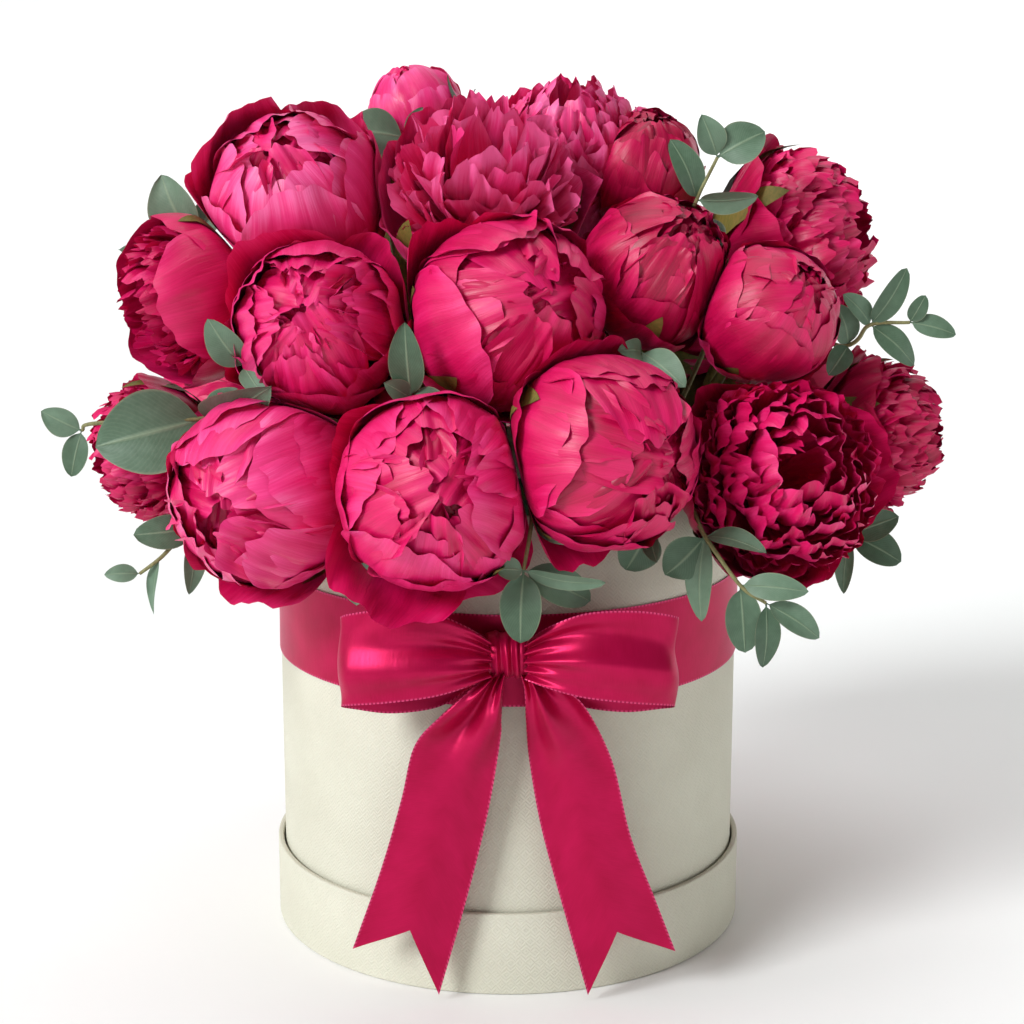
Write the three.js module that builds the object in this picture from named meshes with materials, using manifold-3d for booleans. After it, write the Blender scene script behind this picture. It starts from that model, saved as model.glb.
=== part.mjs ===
// Cerise peonies and eucalyptus in a round cream hat box, tied with a satin bow.
// Millimetres, +Z up. The origin is the middle of the face that the box stands on,
// and the bow is at the front, which is -Y.
//
// The box stands in its own lid, turned upside down. A liner in the box holds soaked
// floral foam, and every stem is pushed into the foam.

import * as THREE from 'three';
import { mergeVertices } from 'three/addons/utils/BufferGeometryUtils.js';
import Module from 'manifold-3d';

const wasm = await Module();
wasm.setup();

// ---------------------------------------------------------------- driving dimensions

const FIT = 0.3; // clearance between pieces that touch
const ROUND = 48; // sides of a round piece

const BOX_RADIUS = 100;
const BOX_TOP = 200;
const BOARD = 2.4; // thickness of the rigid board
const LID_RADIUS = 103.3;
const LID_HEIGHT = 35;

const LINER_WALL = 0.8;
const LINER_TOP = 172;
const FOAM_TOP = 175;

const RIBBON_WIDTH = 38;
const RIBBON = 0.7; // thickness of the ribbon
const BAND_BOTTOM = 122.5;

const KNOT = { width: 18, height: 19, depth: 17, middle: 146.5, back: -101.6 };
const LOOP = { reach: 56, depth: 22, bottom: 129, back: -103.4 };
const TAIL_PLANE = -108; // the tails hang in front of the lid

const STEM_RADIUS = 2.2;
const STEM_FOOT = 112; // height at which a stem ends in the foam
const STEM_STEPS = 5;
const STEM_SIDES = 5;
const SPRIG_RADIUS = 1.2;
const SPRIG_SIDES = 4;
const LEAF_THICKNESS = 1;
const LEAF_STALK = 0.8; // half width of a leaf at its base

// ---------------------------------------------------------------- the flowers

// Each peony: bearing round the box in degrees from +X, reach from the box's axis,
// height of the middle of its head, and the head's radius.
const PEONIES = {
  low_left: [223, 130, 208, 38],
  low_middle_left: [257, 125, 214, 37],
  low_middle_right: [287, 123, 229, 37],
  low_right: [321, 140, 214, 40],
  low_far_right: [353, 163, 219, 31],
  low_far_left: [188, 155, 210, 30],
  mid_far_left: [193, 137, 277, 34],
  mid_left: [223, 103, 269, 35],
  mid_centre: [270, 78, 276, 38],
  mid_right: [321, 77, 290, 30],
  mid_far_right: [330, 121, 274, 28],
  high_left: [194, 91, 316, 37],
  high_centre: [253, 35, 321, 40],
  high_right: [8, 57, 327, 26],
  high_far_right: [2, 127, 299, 38],
  top: [40, 34, 336, 37],
  top_bud: [138, 54, 350, 21],
  back_low_right: [28, 136, 212, 41],
  back_low_middle_right: [66, 132, 216, 41],
  back_low_middle_left: [107, 132, 213, 41],
  back_low_left: [148, 138, 216, 41],
  back_mid_right: [33, 104, 270, 37],
  back_mid: [80, 100, 274, 38],
  back_mid_left: [128, 98, 272, 38],
  back_high_right: [58, 82, 322, 31],
  back_high_left: [104, 64, 320, 33],
};

// ---------------------------------------------------------------- the eucalyptus

// Each sprig: the points of its stem, then its leaves. A leaf is the stem point that
// it grows from, its tip and its width.
const SPRIGS = {
  front_middle: {
    stem: [[10, -50, 150], [9, -88, 207], [9, -112, 200], [6, -122, 184]],
    leaves: [
      [3, [5, -122, 155], 15],
      [3, [37, -130, 181], 6],
      [3, [32, -112, 169], 14],
      [3, [-5, -124, 185], 8],
      [2, [28, -134, 198], 5],
    ],
  },
  front_right: {
    stem: [[46, -42, 150], [66, -72, 207], [76, -112, 195], [89, -122, 178], [99, -122, 171]],
    leaves: [
      [2, [98, -128, 192], 8],
      [2, [75, -116, 162], 9],
      [2, [61, -110, 179], 17],
      [3, [115, -124, 176], 10],
      [3, [92, -118, 150], 13],
      [4, [99, -118, 144], 10],
      [4, [120, -122, 157], 10],
    ],
  },
  front_middle_right: {
    stem: [[24, -54, 150], [42, -84, 207], [55, -106, 197]],
    leaves: [
      [2, [46, -106, 180], 16],
      [2, [57, -122, 187], 6],
    ],
  },
  front_middle_left: {
    stem: [[-28, -48, 150], [-56, -78, 207], [-57, -108, 191]],
    leaves: [
      [2, [-59, -111, 167], 14],
      [2, [-51, -116, 180], 9],
    ],
  },
  front_left: {
    stem: [[-50, -30, 150], [-86, -44, 207], [-127, -68, 188], [-141, -76, 177], [-149, -76, 171]],
    leaves: [
      [2, [-151, -76, 187], 13],
      [4, [-163, -78, 171], 7],
      [3, [-144, -76, 154], 7],
      [2, [-130, -72, 161], 7],
      [2, [-134, -66, 204], 11],
    ],
  },
  left: {
    stem: [[-60, -8, 150], [-98, -34, 232], [-122, -66, 233], [-166, -66, 231], [-172, -66, 228]],
    leaves: [
      [2, [-166, -70, 222], 31],
      [2, [-91, -102, 252], 16],
      [2, [-107, -78, 247], 10],
      [4, [-188, -66, 236], 11],
      [4, [-177, -66, 209], 10],
    ],
  },
  high_left: {
    stem: [[-45, 8, 150], [-90, 18, 240], [-136, 4, 288], [-134, 0, 299]],
    leaves: [
      [3, [-147, 0, 326], 21],
      [3, [-116, -4, 317], 15],
      [2, [-167, 4, 294], 10],
    ],
  },
  top_left: {
    stem: [[-24, 24, 150], [-54, 24, 318], [-44, 12, 341]],
    leaves: [
      [2, [-70, 6, 343], 20],
      [2, [-36, 6, 354], 6],
    ],
  },
  top_spike: {
    stem: [[-6, 26, 150], [-9, 28, 330], [-14, 26, 350]],
    leaves: [
      [2, [-26, 26, 367], 6],
      [2, [-14, 32, 361], 6],
    ],
  },
  high_right: {
    stem: [[38, -8, 150], [90, -20, 275], [77, -40, 312], [76, -48, 319], [84, -48, 336]],
    leaves: [
      [3, [65, -48, 343], 12],
      [4, [77, -50, 353], 11],
      [4, [103, -46, 346], 16],
      [3, [100, -54, 321], 8],
      [2, [81, -52, 296], 17],
      [2, [53, -50, 317], 9],
    ],
  },
  right: {
    stem: [[55, -15, 150], [112, -24, 250], [139, -48, 260], [147, -52, 269], [163, -52, 270]],
    leaves: [
      [2, [133, -50, 277], 12],
      [3, [135, -56, 282], 9],
      [3, [161, -52, 292], 10],
      [3, [166, -50, 252], 11],
      [4, [169, -52, 281], 7],
      [4, [182, -52, 265], 9],
      [2, [130, -56, 249], 9],
    ],
  },
  low_right: {
    stem: [[62, -25, 150], [90, -36, 207], [143, -44, 180]],
    leaves: [
      [2, [163, -46, 188], 12],
      [2, [142, -40, 153], 6],
      [2, [165, -44, 168], 14],
    ],
  },
  centre: {
    stem: [[-18, -32, 150], [-38, -64, 235], [-37, -106, 248]],
    leaves: [
      [2, [-39, -112, 278], 13],
      [2, [-47, -112, 255], 8],
      [2, [-22, -114, 246], 10],
    ],
  },
  middle_right: {
    stem: [[18, -26, 150], [42, -58, 245], [52, -88, 263]],
    leaves: [
      [2, [68, -106, 252], 12],
      [2, [42, -104, 266], 8],
    ],
  },
  middle_left: {
    stem: [[-38, -20, 150], [-84, -42, 232], [-104, -80, 256]],
    leaves: [
      [2, [-117, -86, 276], 13],
      [2, [-94, -96, 246], 8],
    ],
  },
  back_left: {
    stem: [[-40, 36, 150], [-88, 56, 238], [-126, 84, 264]],
    leaves: [
      [2, [-150, 96, 278], 18],
      [2, [-150, 90, 250], 16],
      [2, [-128, 108, 272], 14],
    ],
  },
  back_middle: {
    stem: [[8, 48, 150], [14, 88, 218], [12, 144, 243]],
    leaves: [
      [2, [34, 162, 250], 18],
      [2, [-12, 164, 252], 18],
      [2, [10, 166, 228], 14],
    ],
  },
  back_right: {
    stem: [[44, 40, 150], [88, 74, 236], [112, 94, 262]],
    leaves: [
      [2, [142, 96, 274], 18],
      [2, [110, 126, 270], 16],
      [2, [140, 104, 246], 14],
    ],
  },
};

// ---------------------------------------------------------------- materials

function matte(colour, roughness = 0.6) {
  return new THREE.MeshStandardMaterial({ color: colour, roughness, metalness: 0 });
}

const CREAM = matte(0xe4e0d0, 0.75);
const CREAM_INSIDE = matte(0xd8d2c0, 0.85);
const CERISE = matte(0xc4184e, 0.5);
const CERISE_PALE = matte(0xdb3a6c, 0.5);
const SATIN = matte(0xbe1e55, 0.3);
const SAGE = matte(0x6f8773, 0.6);
const SAGE_DARK = matte(0x4a6650, 0.6);
const FOAM_GREEN = matte(0x3f6b4a, 0.95);
const LINER_CLEAR = matte(0xd9dedb, 0.25);

// ---------------------------------------------------------------- solids

// A closed three.js geometry as a solid for joining and cutting.
function toSolid(geometry) {
  const bare = geometry.index ? geometry.toNonIndexed() : geometry.clone();
  bare.deleteAttribute('normal');
  bare.deleteAttribute('uv');
  const merged = mergeVertices(bare, 1e-3);
  const triangles = [];
  const index = merged.index.array;
  for (let i = 0; i < index.length; i += 3) {
    const [a, b, c] = [index[i], index[i + 1], index[i + 2]];
    if (a !== b && b !== c && c !== a) triangles.push(a, b, c);
  }
  return new wasm.Manifold(new wasm.Mesh({
    numProp: 3,
    vertProperties: new Float32Array(merged.attributes.position.array),
    triVerts: new Uint32Array(triangles),
  }));
}

function toGeometry(solid) {
  const mesh = solid.getMesh();
  const geometry = new THREE.BufferGeometry();
  geometry.setAttribute('position', new THREE.BufferAttribute(mesh.vertProperties, 3));
  geometry.setIndex(new THREE.BufferAttribute(mesh.triVerts, 1));
  const faceted = geometry.toNonIndexed();
  faceted.computeVertexNormals();
  return faceted;
}

// Joining and cutting can leave crumbs or pinholes, and only the outer body is kept.
function largestBody(solid) {
  const bodies = solid.decompose();
  return bodies.reduce((best, body) => (body.volume() > best.volume() ? body : best));
}

// A turned piece from its outline in [radius, height], which closes on itself or on the axis.
function turned(outline) {
  const points = outline.map(([radius, height]) => new THREE.Vector2(radius, height));
  return new THREE.LatheGeometry(points, ROUND).rotateX(Math.PI / 2);
}

function tube(inner, outer, bottom, top) {
  return turned([[inner, bottom], [outer, bottom], [outer, top], [inner, top], [inner, bottom]]);
}

function disc(radius, bottom, top) {
  return turned([[0, bottom], [radius, bottom], [radius, top], [0, top]]);
}

// A round rod of a few sides along a smooth curve through the points.
function rod(points, radius, sides, steps) {
  const section = new THREE.Shape();
  for (let i = 0; i < sides; i += 1) {
    const angle = (i / sides) * 2 * Math.PI;
    section.lineTo(radius * Math.cos(angle), radius * Math.sin(angle));
  }
  const path = new THREE.CatmullRomCurve3(points);
  return new THREE.ExtrudeGeometry(section, { steps, extrudePath: path, bevelEnabled: false });
}

// ---------------------------------------------------------------- peonies

function around(bearing, reach, height) {
  const angle = THREE.MathUtils.degToRad(bearing);
  return new THREE.Vector3(reach * Math.cos(angle), reach * Math.sin(angle), height);
}

const heads = Object.fromEntries(Object.entries(PEONIES).map(
  ([name, [bearing, reach, height, radius]]) => [name, { middle: around(bearing, reach, height), radius }],
));

// The planes that hold a head back: one halfway to each neighbouring head, and one at
// the nearest point of the box's rim.
function planesRound(name) {
  const { middle, radius } = heads[name];
  const planes = [];
  for (const [other, head] of Object.entries(heads)) {
    const apart = head.middle.distanceTo(middle);
    if (other === name || apart > radius + head.radius + FIT) continue;
    const distance = (apart ** 2 + radius ** 2 - head.radius ** 2) / (2 * apart) - FIT / 2;
    planes.push({ normal: head.middle.clone().sub(middle).normalize(), distance });
  }
  const [bearing] = PEONIES[name];
  const toRim = around(bearing, BOX_RADIUS, BOX_TOP).sub(middle);
  planes.push({ normal: toRim.clone().normalize(), distance: toRim.length() - 2 * FIT });
  return planes;
}

// A head is a ball, pressed flat where it meets a plane.
function headSolid(name) {
  const { middle, radius } = heads[name];
  const planes = planesRound(name);
  const ball = new THREE.SphereGeometry(1, 12, 8);
  const position = ball.attributes.position;
  const direction = new THREE.Vector3();
  for (let i = 0; i < position.count; i += 1) {
    direction.fromBufferAttribute(position, i).normalize();
    let length = radius;
    for (const { normal, distance } of planes) {
      const facing = direction.dot(normal);
      if (facing > 0) length = Math.min(length, distance / facing);
    }
    direction.multiplyScalar(length).add(middle);
    position.setXYZ(i, direction.x, direction.y, direction.z);
  }
  return toSolid(ball);
}

// A stem runs from its foot in the foam to the middle of the head. The low, outer ones
// rise above the rim first and then lean over it.
function stemPoints(name) {
  const [bearing, reach, height] = PEONIES[name];
  const points = [around(bearing, 0.4 * reach, STEM_FOOT), around(bearing, 0.5 * reach, 180)];
  const leansOverRim = reach > 115 && height < 240;
  if (leansOverRim) points.push(around(bearing, 84, BOX_TOP + 6));
  points.push(around(bearing, reach, height));
  return points;
}

// ---------------------------------------------------------------- eucalyptus

// A leaf is a thin plate, widest below its middle, between its base and its tip. Its face
// looks outward from the box's axis. The swell thickens it all round.
function leafSolid(base, tip, width, swell) {
  const along = tip.clone().sub(base);
  const length = along.length();
  along.normalize();
  const outward = new THREE.Vector3(base.x + tip.x, base.y + tip.y, 0).normalize();
  const across = new THREE.Vector3().crossVectors(outward, along).normalize();
  const face = new THREE.Vector3().crossVectors(along, across);
  const spread = width + 2 * swell;
  const outline = new THREE.Shape();
  outline.moveTo(-swell, -LEAF_STALK - swell);
  outline.quadraticCurveTo(0.35 * length, -spread, length + swell, 0);
  outline.quadraticCurveTo(0.35 * length, spread, -swell, LEAF_STALK + swell);
  const depth = LEAF_THICKNESS + 2 * swell;
  const plate = new THREE.ExtrudeGeometry(outline, { depth, bevelEnabled: false, curveSegments: 4 });
  plate.translate(0, 0, -depth / 2);
  plate.applyMatrix4(new THREE.Matrix4().makeBasis(along, across, face));
  plate.translate(base.x, base.y, base.z);
  return toSolid(plate);
}

// A sprig is a thin stem with its leaves, all of one growth.
function sprigSolid({ stem, leaves }, swell = 0) {
  const points = stem.map((point) => new THREE.Vector3(...point));
  let solid = toSolid(rod(points, SPRIG_RADIUS + swell, SPRIG_SIDES, 2 * points.length));
  for (const [joint, tip, width] of leaves) {
    solid = solid.add(leafSolid(points[joint], new THREE.Vector3(...tip), width, swell));
  }
  return solid;
}

// The room that a sprig needs, with a ball that clears the end of its stem.
function sprigRoom(plan) {
  const ball = new THREE.SphereGeometry(2 * SPRIG_RADIUS, 6, 4).translate(...plan.stem.at(-1));
  return sprigSolid(plan, FIT).add(toSolid(ball));
}

// ---------------------------------------------------------------- ribbon

function knotGeometry() {
  const { width, height, depth, middle, back } = KNOT;
  const round = 3;
  const face = new THREE.Shape();
  face.moveTo(-width / 2 + round, -height / 2 + round);
  face.lineTo(width / 2 - round, -height / 2 + round);
  face.lineTo(width / 2 - round, height / 2 - round);
  face.lineTo(-width / 2 + round, height / 2 - round);
  const knot = new THREE.ExtrudeGeometry(face, {
    depth: depth - 2 * round,
    bevelThickness: round,
    bevelSize: round,
    bevelSegments: 3,
  });
  return knot.rotateX(Math.PI / 2).translate(0, back - round, middle);
}

// The outline of a loop from above: pinched at the knot and round at its far end.
function loopOutline(path, inset) {
  const start = KNOT.width / 2 + FIT + inset;
  const middle = LOOP.back - LOOP.depth / 2;
  const pinch = 4 - inset;
  const round = LOOP.depth / 2 - inset;
  const turn = KNOT.width / 2 + LOOP.reach - LOOP.depth / 2;
  path.moveTo(start, middle - pinch);
  path.lineTo(turn, middle - round);
  path.absarc(turn, middle, round, -Math.PI / 2, Math.PI / 2, false);
  path.lineTo(start, middle + pinch);
  path.closePath();
  return path;
}

function loopGeometry(side) {
  const outline = loopOutline(new THREE.Shape(), 0);
  outline.holes.push(loopOutline(new THREE.Path(), RIBBON));
  const loop = new THREE.ExtrudeGeometry(outline, {
    depth: RIBBON_WIDTH,
    bevelEnabled: false,
    curveSegments: 10,
  });
  loop.translate(0, 0, LOOP.bottom);
  return side > 0 ? loop : loop.rotateZ(Math.PI).translate(0, 2 * LOOP.back - LOOP.depth, 0);
}

// A tail spreads from the knot to a swallow-tail cut at its end.
function tailGeometry(side, shift) {
  const top = KNOT.middle - KNOT.height / 2 - FIT;
  const outline = new THREE.Shape();
  const x = (distance) => side * (distance + shift);
  outline.moveTo(x(2), top);
  outline.quadraticCurveTo(x(1), 70, x(27), 3);
  outline.lineTo(x(41), 33);
  outline.lineTo(x(63), 22);
  outline.quadraticCurveTo(x(38), 90, x(9), top);
  outline.closePath();
  const tail = new THREE.ExtrudeGeometry(outline, { depth: RIBBON, bevelEnabled: false, curveSegments: 8 });
  return tail.rotateX(Math.PI / 2).translate(0, TAIL_PLANE, 0);
}

// ---------------------------------------------------------------- assembly

const bouquetBox = new THREE.Group();
const lid = new THREE.Group();
const box = new THREE.Group();
bouquetBox.add(lid, box);

function addTo(group, name, geometry, material) {
  const mesh = new THREE.Mesh(geometry, material);
  mesh.name = name;
  group.add(mesh);
}

const lidInside = LID_RADIUS - BOARD;
addTo(lid, 'lid_rim', tube(lidInside, LID_RADIUS, 0, LID_HEIGHT), CREAM);
addTo(lid, 'lid_panel', disc(lidInside - FIT, 0, BOARD), CREAM);

const boxInside = BOX_RADIUS - BOARD;
const boxBottom = BOARD + FIT;
const floorTop = boxBottom + BOARD;
addTo(box, 'box_wall', tube(boxInside, BOX_RADIUS, boxBottom, BOX_TOP), CREAM);
addTo(box, 'box_floor', disc(boxInside - FIT, boxBottom, floorTop), CREAM_INSIDE);

const linerOutside = boxInside - FIT;
const linerInside = linerOutside - LINER_WALL;
const linerBottom = floorTop + FIT;
addTo(box, 'liner', turned([
  [0, linerBottom],
  [linerOutside, linerBottom],
  [linerOutside, LINER_TOP],
  [linerInside, LINER_TOP],
  [linerInside, linerBottom + LINER_WALL],
  [0, linerBottom + LINER_WALL],
]), LINER_CLEAR);

const sprigRooms = Object.values(SPRIGS).map(sprigRoom);
for (const [name, plan] of Object.entries(SPRIGS)) {
  const colour = name.startsWith('high') ? SAGE_DARK : SAGE;
  addTo(box, `eucalyptus_${name}`, toGeometry(largestBody(sprigSolid(plan))), colour);
}

for (const name of Object.keys(PEONIES)) {
  const stem = toSolid(rod(stemPoints(name), STEM_RADIUS, STEM_SIDES, STEM_STEPS));
  let flower = headSolid(name).add(stem);
  for (const room of sprigRooms) flower = flower.subtract(room);
  const colour = name.startsWith('high') || name.startsWith('top') ? CERISE_PALE : CERISE;
  addTo(box, `peony_${name}`, toGeometry(largestBody(flower)), colour);
}

// The holes in the foam are a little wider than the stems.
let foam = toSolid(disc(linerInside - FIT, linerBottom + LINER_WALL + FIT, FOAM_TOP));
for (const name of Object.keys(PEONIES)) {
  const hole = rod(stemPoints(name), STEM_RADIUS + FIT, STEM_SIDES, STEM_STEPS);
  foam = foam.subtract(toSolid(hole));
}
for (const room of sprigRooms) foam = foam.subtract(room);
addTo(box, 'floral_foam', toGeometry(foam), FOAM_GREEN);

const bandInside = BOX_RADIUS + FIT;
const bandTop = BAND_BOTTOM + RIBBON_WIDTH;
addTo(box, 'ribbon_band', tube(bandInside, bandInside + RIBBON, BAND_BOTTOM, bandTop), SATIN);
addTo(box, 'bow_knot', knotGeometry(), SATIN);
addTo(box, 'bow_loop_left', loopGeometry(-1), SATIN);
addTo(box, 'bow_loop_right', loopGeometry(1), SATIN);
addTo(box, 'bow_tail_left', tailGeometry(-1, 0), SATIN);
addTo(box, 'bow_tail_right', tailGeometry(1, 4), SATIN);

export default bouquetBox;
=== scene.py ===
"""Cerise peonies and eucalyptus in a round cream hat box: the looks.

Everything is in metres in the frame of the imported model: +Z up, the bow at -Y, and the box
standing on Z = 0. Lengths written in millimetres are multiplied by MM.
"""

import math

import bpy
import numpy as np
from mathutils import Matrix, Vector


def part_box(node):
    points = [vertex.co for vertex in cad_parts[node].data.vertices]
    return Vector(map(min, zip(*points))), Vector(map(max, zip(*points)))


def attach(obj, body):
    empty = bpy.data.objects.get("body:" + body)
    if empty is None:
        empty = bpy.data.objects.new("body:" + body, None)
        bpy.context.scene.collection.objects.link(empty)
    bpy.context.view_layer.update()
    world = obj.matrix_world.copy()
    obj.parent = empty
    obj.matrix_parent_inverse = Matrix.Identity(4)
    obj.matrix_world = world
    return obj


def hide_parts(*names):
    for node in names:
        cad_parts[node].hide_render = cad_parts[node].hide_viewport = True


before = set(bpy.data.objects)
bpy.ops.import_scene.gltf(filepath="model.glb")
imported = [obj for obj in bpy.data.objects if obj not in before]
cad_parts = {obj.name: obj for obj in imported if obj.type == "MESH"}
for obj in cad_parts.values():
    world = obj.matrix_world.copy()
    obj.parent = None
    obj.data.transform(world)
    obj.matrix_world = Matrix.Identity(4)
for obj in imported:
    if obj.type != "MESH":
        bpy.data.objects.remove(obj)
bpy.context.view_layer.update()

MM = 0.001

# ------------------------------------------------------------------ layout

# The box's own sizes come from its nodes.
BOX_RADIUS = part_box("box_wall")[1].x
BOX_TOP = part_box("box_wall")[1].z

# Each peony, as in the imported model: bearing, reach and height of the middle of its head,
# and its radius, in degrees and millimetres. Then its kind, the bearing and the elevation
# that its opening faces, and how pale it is from 0 to 1. The low values given to several heads on the
# right (+X) side, away from the key light, are partly painted shade.
PEONIES = {
    "low_left": (223, 130, 208, 38, "bud", 243, 2, 0.62),
    "low_middle_left": (257, 125, 214, 37, "slit_bud", 277, 16, 0.52),
    "low_middle_right": (287, 123, 229, 37, "bud", 306, 2, 0.35),
    "low_right": (321, 140, 214, 40, "bomb", 286, 22, 0.35),
    "low_far_right": (353, 163, 219, 31, "bomb", 345, 8, 0.15),
    "low_far_left": (188, 155, 210, 30, "bomb", 205, -12, 0.35),
    "mid_far_left": (193, 137, 277, 34, "shell", 215, -12, 0.40),
    "mid_left": (223, 103, 269, 35, "rose", 264, 16, 0.55),
    "mid_centre": (270, 78, 276, 38, "bud", 297, 20, 0.45),
    "mid_right": (321, 77, 290, 30, "bud", 311, 45, 0.22),
    "mid_far_right": (330, 121, 274, 28, "tight_bud", 307, 35, 0.30),
    "high_left": (194, 91, 316, 37, "cup", 262, 45, 0.70),
    "high_centre": (253, 35, 321, 40, "loose", 275, 50, 0.80),
    "high_right": (8, 57, 327, 26, "tight_bud", 300, 60, 0.15),
    "high_far_right": (2, 127, 299, 38, "bomb", 340, 15, 0.30),
    "top": (40, 34, 336, 37, "bomb", 275, 68, 0.70),
    "top_bud": (138, 54, 350, 21, "tight_bud", 150, 70, 0.70),
    "back_low_right": (28, 136, 212, 41, "rose", 30, 5, 0.40),
    "back_low_middle_right": (66, 132, 216, 41, "bud", 72, 12, 0.45),
    "back_low_middle_left": (107, 132, 213, 41, "bomb", 102, 15, 0.40),
    "back_low_left": (148, 138, 216, 41, "bud", 150, 5, 0.45),
    "back_mid_right": (33, 104, 270, 37, "bud", 40, 30, 0.45),
    "back_mid": (80, 100, 274, 38, "rose", 82, 25, 0.50),
    "back_mid_left": (128, 98, 272, 38, "bomb", 125, 30, 0.50),
    "back_high_right": (58, 82, 322, 31, "cup", 60, 55, 0.60),
    "back_high_left": (104, 64, 320, 33, "bud", 100, 55, 0.55),
}

STEM_RADIUS = 2.2 * MM
STEM_FOOT = 112

# Each eucalyptus sprig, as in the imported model: the points of its stem, then its leaves, each
# with the stem point that it grows from, its tip and its width, all in millimetres.
SPRIGS = {
    "front_middle": (
        [(10, -50, 150), (9, -88, 207), (9, -112, 200), (6, -122, 184)],
        [(3, (5, -122, 155), 15), (3, (37, -130, 181), 6), (3, (32, -112, 169), 14),
         (3, (-5, -124, 185), 8), (2, (28, -134, 198), 5)],
    ),
    "front_right": (
        [(46, -42, 150), (66, -72, 207), (76, -112, 195), (89, -122, 178), (99, -122, 171)],
        [(2, (98, -128, 192), 8), (2, (75, -116, 162), 9), (2, (61, -110, 179), 17),
         (3, (115, -124, 176), 10), (3, (92, -118, 150), 13), (4, (99, -118, 144), 10),
         (4, (120, -122, 157), 10)],
    ),
    "front_middle_right": (
        [(24, -54, 150), (42, -84, 207), (55, -106, 197)],
        [(2, (46, -106, 180), 16), (2, (57, -122, 187), 6)],
    ),
    "front_middle_left": (
        [(-28, -48, 150), (-56, -78, 207), (-57, -108, 191)],
        [(2, (-59, -111, 167), 14), (2, (-51, -116, 180), 9)],
    ),
    "front_left": (
        [(-50, -30, 150), (-86, -44, 207), (-127, -68, 188), (-141, -76, 177), (-149, -76, 171)],
        [(2, (-151, -76, 187), 13), (4, (-163, -78, 171), 7), (3, (-144, -76, 154), 7),
         (2, (-130, -72, 161), 7), (2, (-134, -66, 204), 11)],
    ),
    "left": (
        [(-60, -8, 150), (-98, -34, 232), (-122, -66, 233), (-166, -66, 231), (-172, -66, 228)],
        [(2, (-166, -70, 222), 31), (2, (-91, -102, 252), 16), (2, (-107, -78, 247), 10),
         (4, (-188, -66, 236), 11), (4, (-177, -66, 209), 10)],
    ),
    "high_left": (
        [(-45, 8, 150), (-90, 18, 240), (-136, 4, 288), (-134, 0, 299)],
        [(3, (-147, 0, 326), 21), (3, (-116, -4, 317), 15), (2, (-167, 4, 294), 10)],
    ),
    "top_left": (
        [(-24, 24, 150), (-54, 24, 318), (-44, 12, 341)],
        [(2, (-70, 6, 343), 20), (2, (-36, 6, 354), 6)],
    ),
    "top_spike": (
        [(-6, 26, 150), (-9, 28, 330), (-14, 26, 350)],
        [(2, (-26, 26, 367), 6), (2, (-14, 32, 361), 6)],
    ),
    "high_right": (
        [(38, -8, 150), (90, -20, 275), (77, -40, 312), (76, -48, 319), (84, -48, 336)],
        [(3, (65, -48, 343), 12), (4, (77, -50, 353), 11), (4, (103, -46, 346), 16),
         (3, (100, -54, 321), 8), (2, (81, -52, 296), 17), (2, (53, -50, 317), 9)],
    ),
    "right": (
        [(55, -15, 150), (112, -24, 250), (139, -48, 260), (147, -52, 269), (163, -52, 270)],
        [(2, (133, -50, 277), 12), (3, (135, -56, 282), 9), (3, (161, -52, 292), 10),
         (3, (166, -50, 252), 11), (4, (169, -52, 281), 7), (4, (182, -52, 265), 9),
         (2, (130, -56, 249), 9)],
    ),
    "low_right": (
        [(62, -25, 150), (90, -36, 207), (143, -44, 180)],
        [(2, (163, -46, 188), 12), (2, (142, -40, 153), 6), (2, (165, -44, 168), 14)],
    ),
    "centre": (
        [(-18, -32, 150), (-38, -64, 235), (-37, -106, 248)],
        [(2, (-39, -112, 278), 13), (2, (-47, -112, 255), 8), (2, (-22, -114, 246), 10)],
    ),
    "middle_right": (
        [(18, -26, 150), (42, -58, 245), (52, -88, 263)],
        [(2, (68, -106, 252), 12), (2, (42, -104, 266), 8)],
    ),
    "middle_left": (
        [(-38, -20, 150), (-84, -42, 232), (-104, -80, 256)],
        [(2, (-117, -86, 276), 13), (2, (-94, -96, 246), 8)],
    ),
    "back_left": (
        [(-40, 36, 150), (-88, 56, 238), (-126, 84, 264)],
        [(2, (-150, 96, 278), 18), (2, (-150, 90, 250), 16), (2, (-128, 108, 272), 14)],
    ),
    "back_middle": (
        [(8, 48, 150), (14, 88, 218), (12, 144, 243)],
        [(2, (34, 162, 250), 18), (2, (-12, 164, 252), 18), (2, (10, 166, 228), 14)],
    ),
    "back_right": (
        [(44, 40, 150), (88, 74, 236), (112, 94, 262)],
        [(2, (142, 96, 274), 18), (2, (110, 126, 270), 16), (2, (140, 104, 246), 14)],
    ),
}

GOLDEN_ANGLE = math.radians(137.5)

# A head presses on each neighbour that is nearer than this share of their two radii, is eased
# back past this share of the room that it has, and keeps this far from the box's rim.
NEIGHBOUR_REACH = 1.25
PRESS_KNEE = 0.86
RIM_GAP = 0.6 * MM

BOARD = 2.4 * MM
TUB_WALL = 0.8 * MM
RIBBON_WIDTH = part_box("ribbon_band")[1].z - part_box("ribbon_band")[0].z


# ------------------------------------------------------------------ vectors


def on_bearing(bearing, reach, height):
    """A point round the box's axis, from degrees and millimetres."""
    angle = math.radians(bearing)
    return np.array([reach * math.cos(angle), reach * math.sin(angle), height]) * MM


def facing(bearing, elevation):
    """The unit vector that looks along a bearing and an elevation, in degrees."""
    turn, rise = math.radians(bearing), math.radians(elevation)
    return np.array([math.cos(rise) * math.cos(turn), math.cos(rise) * math.sin(turn), math.sin(rise)])


def unit(vector):
    """The same direction at length 1."""
    return vector / np.linalg.norm(vector)


def smooth_step(low, high, value):
    """0 at low and 1 at high, with a soft start and end."""
    t = np.clip((value - low) / (high - low), 0, 1)
    return t * t * (3 - 2 * t)


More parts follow.
